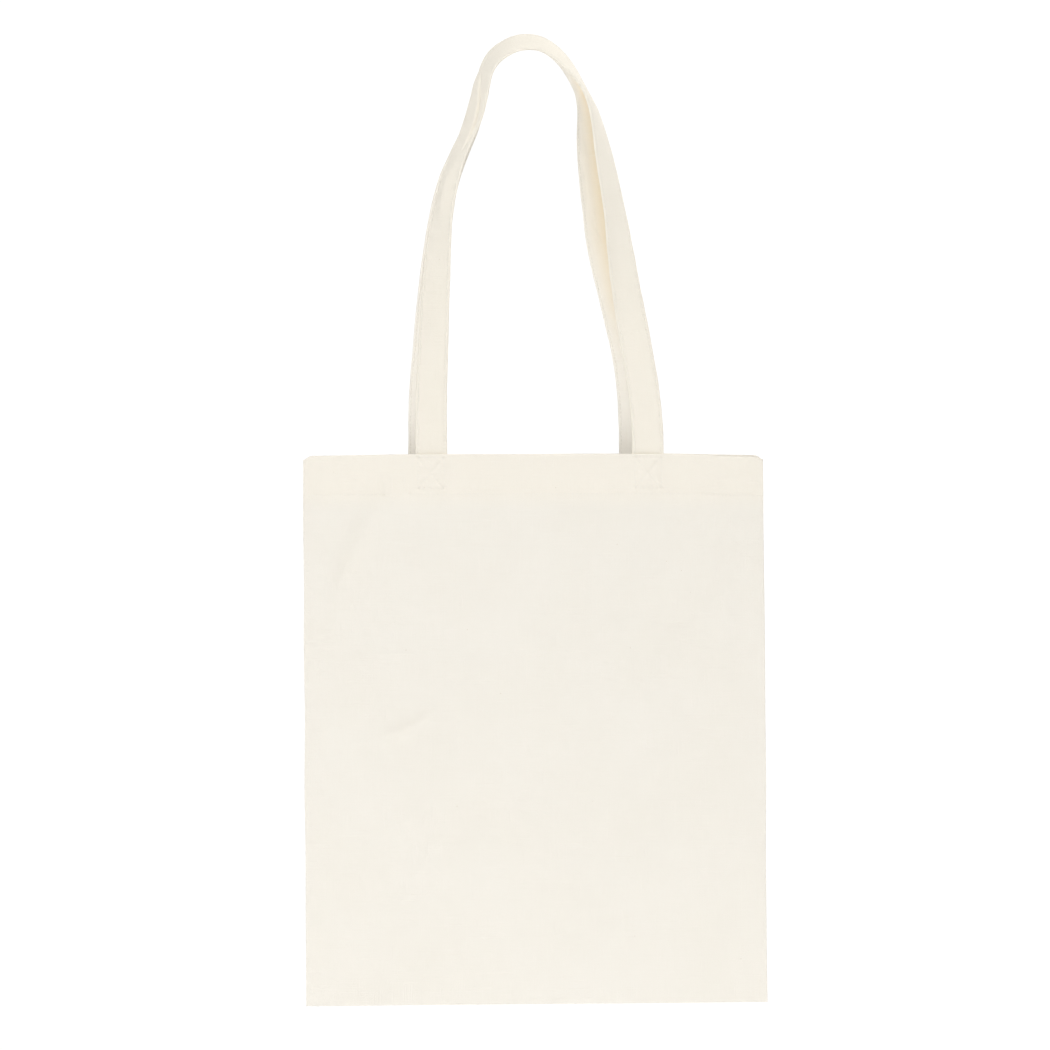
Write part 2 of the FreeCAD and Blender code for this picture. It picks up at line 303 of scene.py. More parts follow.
def canvas(name, colour, double_to=None, gap_shading=None):
    """Unbleached plain-weave cotton: crossing threads, slubs, seed flecks and soft fuzz."""
    shader = Shader(name)
    cloth = shader.add("UVMap", uv_map="cloth").outputs[0]
    weave = plain_weave(shader, cloth)
    warp_slub = shader.noise(shader.stretched(cloth, *WARP_SLUB), 1.0, 1.0)
    weft_slub = shader.noise(shader.stretched(cloth, *WEFT_SLUB), 1.0, 1.0)
    slub = shader.math("MAXIMUM", shader.ramp(warp_slub, 0.60, 0.78),
                       shader.ramp(weft_slub, 0.58, 0.78))
    thin = shader.math("MINIMUM", warp_slub, weft_slub)
    fleck = seed_flecks(shader, cloth)
    cloud = shader.noise(cloth, 14.0, 3.0, 0.55)

    clouded = dyed(colour, CLOUDED)
    base = shader.tint(shader.ramp(cloud, 0.30, 0.70, 0.30, 0.0), (*colour, 1), clouded)
    if double_to is not None:
        down = shader.math("MULTIPLY", shader.add("SeparateXYZ", {0: cloth}).outputs[1], -1.0)
        double = shader.ramp(down, double_to - 0.003, double_to + 0.012, 1.0, 0.0)
        base = shader.tint(double, base, dyed(colour, DOUBLED))
    # painted light and painted shade on a strap's inner face
    if gap_shading is not None:
        base = painted_strap_shading(shader, cloth, base, colour, gap_shading)
    base = shader.tint(shader.math("MULTIPLY", slub, 0.30), base, dyed(colour, SLUBBED))
    base = shader.tint(shader.ramp(thin, 0.25, 0.42, 0.14, 0.0), base, clouded)
    # painted shade: darker where the weave is low, between the threads
    base = shader.tint(shader.ramp(weave, 0.15, 0.75, 0.35, 0.0), base, dyed(clouded, THREAD_GAP_SHADE))
    base = shader.tint(shader.math("MULTIPLY", fleck, 0.45), base, SEED_FLECK)

    normal = shader.bump(shader.noise(cloth, 5200.0, 2.0), FUZZ_RELIEF, 0.35)
    normal = shader.bump(weave, WEAVE_RELIEF, 0.55, normal)
    normal = shader.bump(slub, SLUB_RELIEF, 0.5, normal)
    surface = shader.surface
    shader.put(surface, "Base Color", base)
    shader.put(surface, "Normal", normal)
    shader.put(surface, "Roughness", shader.ramp(weave, 0.2, 0.9, 0.96, 0.86))
    shader.put(surface, "Specular IOR Level", 0.18)
    shader.put(surface, "Sheen Weight", 0.12)
    shader.put(surface, "Sheen Roughness", 0.6)
    shader.put(surface, "Sheen Tint", (1.0, 0.97, 0.9, 1.0))
    return shader.material


def cotton_thread(name, colour):
    """Twisted sewing thread: plies that run slantwise round each stitch."""
    shader = Shader(name)
    place = shader.add("UVMap", uv_map="cloth").outputs[0]
    axes = shader.add("SeparateXYZ", {0: place})
    along = shader.math("MULTIPLY", axes.outputs[0], 2 * math.pi / PLY_PITCH)
    slant = shader.math("MULTIPLY_ADD", axes.outputs[1], 2 * math.pi / THREAD, along)
    plies = shader.math("SINE", slant)
    fuzz = shader.noise(place, 3000.0, 2.0)
    # painted shade: the thread is darker in the grooves between its plies
    shade = shader.ramp(plies, -1.0, 1.0, 0.0, 1.0)
    ply_groove_shade = [c * 0.86 for c in colour]
    base = shader.tint(shade, (*ply_groove_shade, 1), (*colour, 1))
    normal = shader.bump(fuzz, 0.00004, 0.3)
    normal = shader.bump(plies, PLY_RELIEF, 0.8, normal)
    shader.put(shader.surface, "Base Color", base)
    shader.put(shader.surface, "Normal", normal)
    shader.put(shader.surface, "Roughness", shader.ramp(fuzz, 0.3, 0.7, 0.7, 0.85))
    shader.put(shader.surface, "Specular IOR Level", 0.3)
    shader.put(shader.surface, "Sheen Weight", 0.2)
    return shader.material


def studio_white(name):
    """Pale seamless floor."""
    shader = Shader(name)
    place = shader.add("TexCoord").outputs["Object"]
    mottle = shader.ramp(shader.noise(place, 3.0, 4.0), 0.3, 0.7)
    base = shader.tint(mottle, (0.90, 0.90, 0.90, 1), (0.93, 0.93, 0.93, 1))
    shader.put(shader.surface, "Base Color", base)
    shader.put(shader.surface, "Roughness", 0.8)
    shader.put(shader.surface, "Emission Color", (1.0, 1.0, 1.0, 1.0))
    shader.put(shader.surface, "Emission Strength", FLOOR_GLOW)
    return shader.material


# ---------------------------------------------------------------- mesh tools

def smooth(value):
    """Smooth step from 0 to 1."""
    value = np.clip(value, 0.0, 1.0)
    return value * value * (3 - 2 * value)


def bell(distance, width, power=2):
    """1 at no distance, and falling away smoothly to little past width."""
    return np.exp(-(distance / width) ** power)


def run_along(line):
    """Distance along a line of points, from its start to each of them."""
    return np.concatenate([[0], np.cumsum(np.linalg.norm(np.diff(line, axis=0), axis=1))])


def read_at(place, run, values):
    """The row of values at a place along a run, between the rows that it has."""
    return np.array([np.interp(place, run, values[:, k]) for k in range(3)])


def new_object(name, points, faces, uv, material):
    """An object from points, faces and one cloth coordinate for each point."""
    mesh = bpy.data.meshes.new(name)
    mesh.from_pydata(points.tolist(), [], faces)
    corners = np.zeros(len(mesh.loops), np.int32)
    mesh.loops.foreach_get("vertex_index", corners)
    layer = mesh.uv_layers.new(name="cloth")
    layer.data.foreach_set("uv", np.asarray(uv, np.float32)[corners].ravel())
    mesh.polygons.foreach_set("use_smooth", np.ones(len(mesh.polygons), bool))
    mesh.materials.append(material)
    mesh.update()
    made = bpy.data.objects.new(name, mesh)
    bpy.context.scene.collection.objects.link(made)
    return made


def grid_faces(rows, columns, keep=None, around=False):
    """Quads of a grid of points. keep says which cells are there, and around closes each row."""
    faces = []
    last = columns if around else columns - 1
    for i in range(rows - 1):
        for j in range(last):
            if keep is None or keep[i, j]:
                k = (j + 1) % columns
                faces.append((i * columns + j, (i + 1) * columns + j,
                              (i + 1) * columns + k, i * columns + k))
    return faces


def end_faces(rings, sides):
    """The two faces that close a tube of rings."""
    last = rings * sides
    return [tuple(range(sides)), tuple(range(last - 1, last - sides - 1, -1))]


def without_spares(points, faces, uv):
    """Leaves out the points that no face uses."""
    used = np.unique(np.array(faces))
    new_index = np.full(len(points), -1)
    new_index[used] = np.arange(len(used))
    return points[used], [tuple(new_index[list(f)].tolist()) for f in faces], uv[used]


def set_outward(made):
    """Turns every face of a closed mesh outwards."""
    mesh = bmesh.new()
    mesh.from_mesh(made.data)
    bmesh.ops.recalc_face_normals(mesh, faces=mesh.faces)
    mesh.to_mesh(made.data)
    mesh.free()


def ripple(x, t, length, count, seed):
    """Uneven waves about length metres long, from -1 to 1: plane waves of many directions."""
    draw = np.random.default_rng(seed)
    total = np.zeros(np.broadcast(x, t).shape)
    for _ in range(count):
        direction = draw.uniform(0, math.pi)
        wave = 2 * math.pi / (length * draw.uniform(0.7, 1.5))
        phase = draw.uniform(0, 2 * math.pi)
        total += np.sin(wave * (x * math.cos(direction) + t * math.sin(direction)) + phase)
    return total / math.sqrt(count) / 1.6


def waves(x, t, size, seed):
    """Uneven waves of a given height, length and number."""
    height, length, count = size
    return height * ripple(x, t, length, count, seed)


def crease(x, t, path, width, height, fading=0.7):
    """A soft ridge, or a groove where height is negative, along a path of cloth points."""
    best = np.full(np.broadcast(x, t).shape, 1e9)
    share = np.zeros_like(best)
    lengths = [math.dist(a, b) for a, b in zip(path, path[1:])]
    done = 0.0
    for (a, b), length in zip(zip(path, path[1:]), lengths):
        dx, dt = (b[0] - a[0]) / length, (b[1] - a[1]) / length
        along = np.clip((x - a[0]) * dx + (t - a[1]) * dt, 0, length)
        away = np.hypot(x - a[0] - along * dx, t - a[1] - along * dt)
        nearer = away < best
        best = np.where(nearer, away, best)
        share = np.where(nearer, (done + along) / sum(lengths), share)
        done += length
    fade = np.sin(math.pi * np.clip(share, 0.02, 0.98)) ** fading
    return height * fade * np.exp(-(best / width) ** 2)


def sway(x, t):
    """How far the seam plane of the hanging bag wanders off flat, in y."""
    out = waves(x * 0.8, t * 0.8, SWAY, SWAY_SEED) * smooth((t - HEM_DEPTH) / 0.12)
    for side, curl in ((-1, LEFT_CURL), (1, RIGHT_CURL)):
        height, (across, wide), (down, tall) = curl
        out = out + height * smooth((side * x - across) / wide) * smooth((t - down) / tall)
    return out


# ---------------------------------------------------------------- the two panels

class Panel:
    """One face of the bag, with sign -1 at the front and 1 at the back.

    Cloth coordinates are x across and t down from the mouth.
    """

    def __init__(self, side, sign, creases, droop, peek, strap_x, seed):
        self.side = side
        self.sign = sign
        self.creases = creases
        self.droop = droop
        self.peek = peek
        self.strap_x = [x - MOUTH_SHIFT for x in strap_x]
        self.seed = seed
        box_low, box_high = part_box(side + "_left_cross_stitch")
        self.figure_top = MOUTH_Z - box_high.z
        self.figure_size = (FIGURE_WIDTH, box_high.z - box_low.z - THREAD)

    def figure(self, centre):
        """The lines of the box and cross sewn through a strap's end."""
        wide, tall = self.figure_size
        left, right = centre - wide / 2, centre + wide / 2
        top, bottom = self.figure_top, self.figure_top + tall
        return [[(left, top), (right, top)], [(right, top), (right, bottom)],
                [(right, bottom), (left, bottom)], [(left, bottom), (left, top)],
                [(left, top), (right, bottom)], [(right, top), (left, bottom)]]

    def relief(self, x, t):
        """How far the cloth stands out from its smooth bowed shape."""
        calm = smooth((HALF_WIDTH - np.abs(x)) / 0.03) * smooth((HEIGHT - t) / 0.03)
        below_hem = smooth((t - HEM_DEPTH) / 0.05)
        out = waves(x, t * 0.6, BROAD_WAVES, self.seed) * calm
        out += waves(x, t, SMALL_WAVES, self.seed + 1) * calm * below_hem
        out += waves(x, t, FINE_WAVES, self.seed + 2) * calm
        for path, width, height in self.creases:
            out += crease(x, t, path, width, height) * calm
        for centre in self.strap_x:
            out += self.relief_at_strap(x, t, centre)
        return out + self.relief_at_seams(x, t)

    def relief_at_strap(self, x, t, centre):
        """What a strap's end does to the hem: it stands out, pulls, and is quilted by its stitches."""
        across = np.abs(x - centre)
        inside = smooth((0.013 - across) / 0.003) * smooth((STRAP_END - t) / 0.003)
        out = 0.00045 * inside + 0.00025 * inside * bell(t - 0.0038, 0.0016)
        out += 0.0006 * bell(across, 0.022) * bell(t, 0.06) * np.cos((x - centre) / 0.0075)
        quilted = bell(across, 0.011, 4) * bell(t - 0.014, 0.013, 4)
        out += quilted * waves(x, t, QUILTING, self.seed + 7)
        for line in self.figure(centre):
            out += crease(x, t, line, 0.0011, -0.00042, 0.0)
        return out

    def relief_at_seams(self, x, t):
        """The groove of the hem's stitching, and the puckers along every seam."""
        out = -0.00022 * bell(t - HEM_ROW, 0.0011)
        out += bell(t - HEM_ROW, 0.009) * waves(x, t * 0.25, HEM_PUCKERS, self.seed + 3)
        for side_x in (-HALF_WIDTH, HALF_WIDTH):
            near = bell(np.abs(x - side_x) - 0.006, 0.006)
            out += near * waves(x * 0.2, t, SIDE_PUCKERS, self.seed + 4)
        near = bell(HEIGHT - t - 0.007, 0.006)
        return out + near * waves(x, t * 0.2, BOTTOM_PUCKERS, self.seed + 5)

    def place(self, x, t, inset=0.0, bow_x=None):
        """Points in the frame for cloth coordinates, moved inwards from the outer layer by inset."""
        x, t, inset = np.broadcast_arrays(np.asarray(x, float), t, inset)
        bow_x = x if bow_x is None else np.broadcast_to(bow_x, x.shape)
        depth = np.clip(t / HEIGHT, 0, 1)
        fade, round_off = BOW_FADE
        bow = BOW * (1 - depth ** fade) ** round_off * (1 - (bow_x / HALF_WIDTH) ** 2)
        out = EDGE + bow + self.relief(bow_x, t) - inset
        out = np.maximum(out, CLOTH / 2)
        tilt = MOUTH_TILT + (BOTTOM_TILT - MOUTH_TILT) * depth
        z = MOUTH_Z - t * (1 + STRETCH / HEIGHT) + self.mouth_lift(x, t) + tilt * x
        wander = waves(t, x * 0.2, EDGE_WANDER, EDGE_SEED) * smooth(t / 0.05)
        spread = MOUTH_SPREAD + (LOWER_SPREAD - MOUTH_SPREAD) * smooth(t / 0.15)
        shift = MOUTH_SHIFT + (BOTTOM_SHIFT - MOUTH_SHIFT) * depth
        return np.stack([x * (1 + spread) + shift + wander, self.sign * out + sway(x, t), z], axis=-1)

    def mouth_lift(self, x, t):
        """How much higher the cloth near the mouth is than a level one: its corners hang lower."""
        left, right = self.droop
        drop, wide = CORNER_DROP
        corner = np.where(x < 0, left, right) * smooth((np.abs(x) - 0.095) / 0.085)
        corner = corner + drop * smooth((np.abs(x) - HALF_WIDTH + wide) / wide) ** 3
        lift = self.peek * smooth((x + 0.05) / 0.09) * np.exp(-(t / 0.08))
        return lift - corner * np.exp(-(t / 0.05))

    def inner_face(self, x, t):
        """How far the hem's inner face is from the seam plane, towards this panel's side."""
        points = self.place(x - MOUTH_SHIFT, t, 2 * HEM_ROLL + CLOTH / 2)
        return np.abs(points[..., 1])


def turn(radius, steps):
    """A half turn: how far it runs on, and how far inwards it goes, at each step."""
    angle = np.linspace(0, math.pi, steps)
    return radius * np.sin(angle), radius * (1 - np.cos(angle))


def spaced(start, end, step):
    """Even steps from start to end, without the end."""
    count = max(1, int(round(abs(end - start) / step)))
    return np.linspace(start, end, count, endpoint=False)


def panel_rows():
    """Down a panel's section: how far below the mouth, how far inwards, and the stretch it is in."""
    rows = []

    def stretch(name, below, inwards):
        below, inwards = np.broadcast_arrays(np.atleast_1d(below), inwards)
        rows.extend((float(t), float(i), name) for t, i in zip(below, inwards))

    tuck = HEM_ROLL
    stretch("hem", spaced(HEM_DEPTH - HEM_TUCK, HEM_DEPTH - tuck / 2, DOWN_STEP), tuck)
    on, inwards = turn(tuck / 2, 6)
    stretch("hem", HEM_DEPTH - tuck / 2 + on[:-1], tuck + inwards[:-1])
    stretch("hem", spaced(HEM_DEPTH - tuck / 2, HEM_ROLL, SEAM_STEP), 2 * tuck)
    on, inwards = turn(HEM_ROLL, 9)
    stretch("hem", HEM_ROLL - on[:-4], 2 * HEM_ROLL - inwards[:-4])
    stretch("top", HEM_ROLL - on[-4:-1], 2 * HEM_ROLL - inwards[-4:-1])
    stretch("top", spaced(HEM_ROLL, HEM_DEPTH + 0.004, HEM_STEP), 0.0)
    stretch("body", spaced(HEM_DEPTH + 0.004, HEIGHT - BESIDE_SEAM, DOWN_STEP), 0.0)
    stretch("body", spaced(HEIGHT - BESIDE_SEAM, HEIGHT - SEAM_ROLL, SEAM_STEP), 0.0)
    on, inwards = turn(SEAM_ROLL, 7)
    stretch("bottom", HEIGHT - SEAM_ROLL + on[:-1], inwards[:-1])
    stretch("bottom", np.linspace(HEIGHT - SEAM_ROLL, HEIGHT - SEAM_FLAP, 6), 2 * SEAM_ROLL)
    return rows


def panel_columns():
    """Across a panel: x, how far inwards, where its bow is read, and the stretch it is in."""
    edge = HALF_WIDTH - SEAM_ROLL
    strap_from, strap_to = STRAP_STRETCH
    places = [spaced(0.0, strap_from, WIDE_STEP), spaced(strap_from, strap_to, STRAP_STEP),
              spaced(strap_to, HALF_WIDTH - BESIDE_SEAM, WIDE_STEP),
              spaced(HALF_WIDTH - BESIDE_SEAM, edge, SEAM_STEP)]
    half = [(x, 0.0, x, "main") for x in np.concatenate(places)]
    on, inwards = turn(SEAM_ROLL, 7)
    for step, inward in zip(on[:-1], inwards[:-1]):
        half.append((edge + step, inward, edge + step, "edge"))
    for x in np.linspace(edge, HALF_WIDTH - SEAM_FLAP, 6):
        half.append((x, 2 * SEAM_ROLL, HALF_WIDTH, "flap"))
    left = [(-x, inward, -bow_x, name) for x, inward, bow_x, name in reversed(half[1:])]
    return left + half


def keep_cell(row, column):
    """Whether the cloth goes on from a row and a column: hem and seam allowances don't double up."""
    if column == "main":
        return True
    return column == "edge" or row == "body"


def panel_cloth(panel, material):
    """One panel as a single sheet of cloth, with its double-turned hem and its seam allowances."""
    rows, columns = panel_rows(), panel_columns()
    t = np.array([r[0] for r in rows])[:, None]
    row_in = np.array([r[1] for r in rows])[:, None]
    x = np.array([c[0] for c in columns])[None, :]
    column_in = np.array([c[1] for c in columns])[None, :]
    bow_x = np.array([c[2] for c in columns])[None, :]
    points = panel.place(x, t, np.maximum(row_in, column_in), bow_x).reshape(-1, 3)
    keep = np.zeros((len(rows) - 1, len(columns) - 1), bool)
    for i in range(len(rows) - 1):
        for j in range(len(columns) - 1):
            names = {rows[i][2], rows[i + 1][2]}, {columns[j][3], columns[j + 1][3]}
            keep[i, j] = all(keep_cell(r, c) for r in names[0] for c in names[1])
    faces = grid_faces(len(rows), len(columns), keep)
    run = run_along(np.stack([t[:, 0], row_in[:, 0]], axis=1))
    across = run_along(np.stack([x[0], column_in[0]], axis=1))
    uv = np.stack(np.broadcast_arrays(across[None, :], -run[:, None]), axis=-1).reshape(-1, 2)
    points, faces, uv = without_spares(points, faces, uv)
    cloth = new_object(panel.side + "_panel_cloth", points, faces, uv, material)
    shell = cloth.modifiers.new("thickness", "SOLIDIFY")
    shell.thickness = CLOTH
    shell.offset = 0.0
    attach(cloth, "bag")
    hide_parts(panel.side + "_panel")


# ---------------------------------------------------------------- handles

class Strap:
    """One handle: a flat strap along a smooth line, with its two ends sewn inside the hem."""

    def __init__(self, panel, route, folds, seed):
        self.side = panel.side
        self.sign = panel.sign
        self.panel = panel
        self.folds = folds
        self.seed = seed
        first, last = route[0], route[-1]
        foot = MOUTH_Z - STRAP_END
        stations = [(first[0], foot, first[2]), (first[0], foot / 2 + first[1] / 2, first[2])]
        stations += route
        stations += [(last[0], foot / 2 + last[1] / 2, last[2]), (last[0], foot, last[2])]
        self.line, self.turns = self.smoothed(np.array(stations, float))
        self.length = self.measure()

    def smoothed(self, stations):
        """Even points on a Catmull-Rom line through the stations, and the strap's turn at each."""
        padded = np.vstack([2 * stations[0] - stations[1], stations, 2 * stations[-1] - stations[-2]])
        share = np.linspace(0, 1, ROUTE_STEPS, endpoint=False)[:, None]
        parts = []
        for a, b, c, d in zip(padded, padded[1:], padded[2:], padded[3:]):
            parts.append(0.5 * (2 * b + (c - a) * share + (2 * a - 5 * b + 4 * c - d) * share ** 2
                                + (3 * b - a - 3 * c + d) * share ** 3))
        dense = np.vstack(parts + [stations[-1:]])
        for _ in range(ROUTE_SMOOTHINGS):
            dense[1:-1] = dense[1:-1] / 2 + (dense[:-2] + dense[2:]) / 4
        run = run_along(dense[:, :2])
        fine = np.arange(0, STRAP_END + 1.5 * BEND, FOLD_STEP)
        between = np.linspace(fine[-1], run[-1] - fine[-1], int(run[-1] / STATION_STEP))
        at = np.concatenate([fine, between[1:-1], run[-1] - fine[::-1]])
        x, z, turns = (np.interp(at, run, dense[:, k]) for k in range(3))
        rise = np.clip((z - MOUTH_Z) / -MOUTH_Z, 0, 1)
        below = np.clip(MOUTH_Z - z, 0.002, STRAP_END)
        foot_x = np.where(x < 0, stations[0][0], stations[-1][0])
        base = self.panel.inner_face(foot_x, below) - STRAP_THICK / 2 - PLY_GAP
        y = self.sign * (base + rise * (ARCH_OFFSET - base))
        return np.stack([x, y, z], axis=1), np.radians(turns)

    def measure(self):
        """Works out the run of the line and the strap's directions along it."""
        self.run = run_along(self.line)
        along = np.gradient(self.line, axis=0)
        along[:, 1] = 0
        along /= np.linalg.norm(along, axis=1)[:, None]
        outward = np.stack([-along[:, 2], 0 * along[:, 0], along[:, 0]], axis=1)
        back = np.array([[0, -self.sign, 0]])
        self.width = outward * np.cos(self.turns)[:, None] + back * np.sin(self.turns)[:, None]
        self.face = np.cross(along, self.width)
        return self.run[-1]

    def place(self, run, across, lift):
        """Points on the strap: along it, across it, and lifted off its middle plane."""
        run, across, lift = np.broadcast_arrays(np.asarray(run, float), across, lift)
        found = []
        for values in (self.line, self.width, self.face):
            found.append(np.stack([np.interp(run, self.run, values[:, k]) for k in range(3)], axis=-1))
        centre, width, face = found
        edge_wave = waves(run, across * 3, STRAP_EDGE_WAVES, self.seed)
        level = smooth((centre[..., 2] - MOUTH_Z) / 0.03)
        shift = across + edge_wave * np.sign(across)
        bulge = (lift + self.bulge(run, across) * level)[..., None]
        return centre + width * shift[..., None] + face * bulge

    def on_strap(self, x, z):
        """Where a place seen from the front is on the strap: how far along it and across it."""
        nearest = np.argmin(np.hypot(self.line[:, 0] - x, self.line[:, 2] - z))
        wide = self.width[nearest]
        away = (x - self.line[nearest, 0]) * wide[0] + (z - self.line[nearest, 2]) * wide[2]
        return self.run[nearest], away / (wide[0] ** 2 + wide[2] ** 2)

    def bulge(self, run, across):
        """How far the strap stands off a flat ribbon: small buckles, a curl across it, and its folds."""
        out = waves(run, across * 1.5, STRAP_BUCKLES, self.seed + 1)
        curl = 0.0006 + waves(run, 0.0, STRAP_CURL, self.seed + 2)
        out = out - self.sign * curl * (1 - (2 * across / STRAP_WIDTH) ** 2)
        for path, width, height in self.folds:
            out = out + crease(run, across, [self.on_strap(*place) for place in path], width, height)
        return out


def strap_section():
    """Half the strap's section: places across it, and the cloth's height there."""
    half = STRAP_WIDTH / 2
    inner = np.linspace(-half + 0.0038, half - 0.0038, 29)
    rim = half - np.array([0.0, 0.00012, 0.0004, 0.0009, 0.0014, 0.0018, 0.0021, 0.0024, 0.0030])
    across = np.concatenate([-rim, inner, rim[::-1]])
    from_edge = half - np.abs(across)
    height = STRAP_THICK / 2 * np.clip(from_edge / 0.0009, 0, 1) ** 0.5
    deep, half_width = STRAP_GROOVE
    height = height - deep * bell(from_edge - STITCH_EDGE, half_width)
    return across, height


def strap_cloth(strap, material):
    """The strap as one closed strip of folded canvas, grooved along its edge stitching."""
    across, height = strap_section()
    around_x = np.concatenate([across, across[-2:0:-1]])
    around_z = np.concatenate([height, -height[-2:0:-1]])
    open_edge = np.abs(around_x - STRAP_WIDTH / 2) < 1e-6
    around_x = around_x - 0.0005 * open_edge
    run = strap.run[:, None]
    points = strap.place(run, around_x[None, :], around_z[None, :])
    faces = grid_faces(len(strap.run), len(around_x), around=True)
    faces += end_faces(len(strap.run), len(around_x))
    girth = run_along(np.stack([around_x, around_z], axis=1))
    if strap.sign > 0:
        girth = (girth + girth[-1] / 2) % girth[-1]
    uv = np.stack(np.broadcast_arrays(girth[None, :], run), axis=-1).reshape(-1, 2)
    cloth = new_object(strap.side + "_strap", points.reshape(-1, 3), faces, uv, material)
    set_outward(cloth)
    ends = [strap.side + "_handle_" + hand + "_end" for hand in ("left", "right")]
    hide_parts(strap.side + "_handle", *ends)
    bend_at_mouth(cloth)


def bend_at_mouth(made):
    """Bakes a piece's placement in the frame into its mesh."""
    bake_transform(made)


# ---------------------------------------------------------------- stitches and thread

def stitch_template():
    """One stitch lying along X about the origin: a thread that dips in at both ends."""
    rings, sides = 7, 6
    points, uv = [], []
    for i in range(rings):
        share = i / (rings - 1) * 2 - 1
        radius = THREAD / 2 * max(0.12, 1 - abs(share) ** 4) ** 0.5
        dip = -THREAD * 0.75 * abs(share) ** 3
        for j in range(sides):
            angle = 2 * math.pi * j / sides
            points.append((share * STITCH_LENGTH / 2, radius * math.cos(angle),
                           radius * math.sin(angle) + dip))
            uv.append((share * STITCH_LENGTH / 2, j / sides * THREAD))
    faces = grid_faces(rings, sides, around=True) + end_faces(rings, sides)
    return np.array(points), np.array(uv), [f[::-1] for f in faces]


def stitches(name, rows, material, node, strap=None):
    """Stitches along rows. A row is its points and the direction out of the cloth at each."""
    shape, shape_uv, shape_faces = stitch_template()
    points, faces, uv = [], [], []
    for line, outward in rows:
        run = run_along(line)
        count = max(1, int(round(run[-1] / STITCH_PITCH)))
        for at in (np.arange(count) + 0.5) * run[-1] / count:
            along = (read_at(at + STITCH_LENGTH / 2, run, line)
                     - read_at(at - STITCH_LENGTH / 2, run, line))
            along /= np.linalg.norm(along)
            side = np.cross(read_at(at, run, outward), along)
            side /= np.linalg.norm(side)
            axes = np.stack([along, side, np.cross(along, side)])
            first = len(points) * len(shape)
            faces.extend(tuple(first + i for i in f) for f in shape_faces)
            points.append(read_at(at, run, line) + shape @ axes)
            uv.append(shape_uv + (at, 0))
    made = new_object(name, np.vstack(points), faces, np.vstack(uv), material)
    set_outward(made)
    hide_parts(node)
    if strap is None:
        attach(made, "bag")
    else:
        bend_at_mouth(made)


def row_on_panel(panel, corners, inset):
    """A sewn line through cloth points of a panel, on its outer face or, with inset, inside."""
    (x0, t0), (x1, t1) = corners
    line = panel.place(np.linspace(x0, x1, ROW_POINTS), np.linspace(t0, t1, ROW_POINTS), inset)
    out = panel.sign if inset <= 0 else -panel.sign
    return line, np.tile([0.0, out, 0.0], (len(line), 1))


def hem_stitches(panel, material):
    """The row that holds the hem down, seen on both of its faces."""
    reach = HALF_WIDTH - 0.003
    ends = [(-reach, HEM_ROW), (reach, HEM_ROW)]
    rows = [row_on_panel(panel, ends, -CLOTH / 2),
            row_on_panel(panel, ends, 2 * HEM_ROLL + CLOTH / 2)]
    stitches(panel.side + "_hem_stitches", rows, material, panel.side + "_hem_stitching")


def cross_stitches(panel, strap, hand, x, material):
    """Box-and-cross stitching through the hem and the strap's end."""
    node = panel.side + "_" + hand + "_cross_stitch"
    rows = [row_on_panel(panel, line, -CLOTH / 2) for line in panel.figure(x)]
    for line in panel.figure(x):
        rows.append(row_inside_strap(strap, hand, x, line))
    stitches(node.replace("cross_stitch", "cross_stitches"), rows, material, node)


def row_inside_strap(strap, hand, centre_x, corners):
    """A sewn line on the inner face of a strap's end."""
    (x0, t0), (x1, t1) = corners
    share = np.linspace(0, 1, ROW_POINTS)
    x, t = x0 + (x1 - x0) * share, t0 + (t1 - t0) * share
    up_strap = STRAP_END - t
    run = up_strap if hand == "left" else strap.length - up_strap
    across = (centre_x - x) if hand == "left" else (x - centre_x)
    inner = strap.place(run, across, 0.0)
    inner[:, 1] -= strap.sign * (STRAP_THICK / 2 + PLY_GAP)
    return inner, np.tile([0.0, -strap.sign, 0.0], (len(inner), 1))


def strap_stitches(strap, material):
    """Edge stitching along both edges of a strap, seen on both faces."""
    edge = STRAP_WIDTH / 2 - STITCH_EDGE
    lift = STRAP_THICK / 2 - SUNK
    run = np.linspace(0.002, strap.length - 0.002, STRAP_POINTS)
    rows = []
    for across in (-edge, edge):
        for face in (-1, 1):
            line = strap.place(run, across, face * lift)
            rows.append((line, strap.place(run, across, face * (lift + STRAP_THICK)) - line))
    stitches(strap.side + "_strap_stitches", rows, material, strap.side + "_handle_stitching", strap)


def thread_tube(name, line, material, node):
    """A continuous thread along a line of points."""
    sides = 5
    along = np.gradient(line, axis=0)
    along /= np.linalg.norm(along, axis=1)[:, None]
    helper = np.where(np.abs(along[:, 1:2]) > 0.9, [[1.0, 0, 0]], [[0, 1.0, 0]])
    one = np.cross(along, helper)
    one /= np.linalg.norm(one, axis=1)[:, None]
    two = np.cross(along, one)
    angle = 2 * math.pi * np.arange(sides) / sides
    ring = one[:, None] * np.cos(angle)[None, :, None] + two[:, None] * np.sin(angle)[None, :, None]
    points = line[:, None] + ring * THREAD * 0.4
    faces = grid_faces(len(line), sides, around=True) + end_faces(len(line), sides)
    around = np.arange(sides) / sides * THREAD
    uv = np.stack(np.broadcast_arrays(run_along(line)[:, None], around), axis=-1).reshape(-1, 2)
    made = new_object(name, points.reshape(-1, 3), faces, uv, material)
    set_outward(made)
    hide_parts(node)
    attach(made, "bag")


def overlock(edge, into_bag):
    """Overlock thread: it zigzags over both faces of the raw edges as it goes along them."""
    into_bag = np.array(into_bag, float)
    run = run_along(edge)
    count = int(run[-1] / OVERLOCK_PITCH)
    lift = SEAM_ROLL + CLOTH * 0.75
    reach, past = -OVERLOCK_REACH, OVERLOCK_PAST
    loop = [(0.0, reach, lift), (0.35, past, lift), (0.45, past, -lift), (0.5, reach, -lift),
            (0.85, past, -lift), (0.95, past, lift)]
    line = []
    for turn_number in range(count):
        for share, inwards, y in loop:
            place = read_at(run[-1] * (turn_number + share) / count, run, edge)
            line.append(place + into_bag * inwards + np.array([0, y, 0]))
    return np.array(line)


def seam_line(front, x, t):
    """Points of a line in the bag's seam plane."""
    line = front.place(x, t)
    line[:, 1] = sway(x, t)
    return line


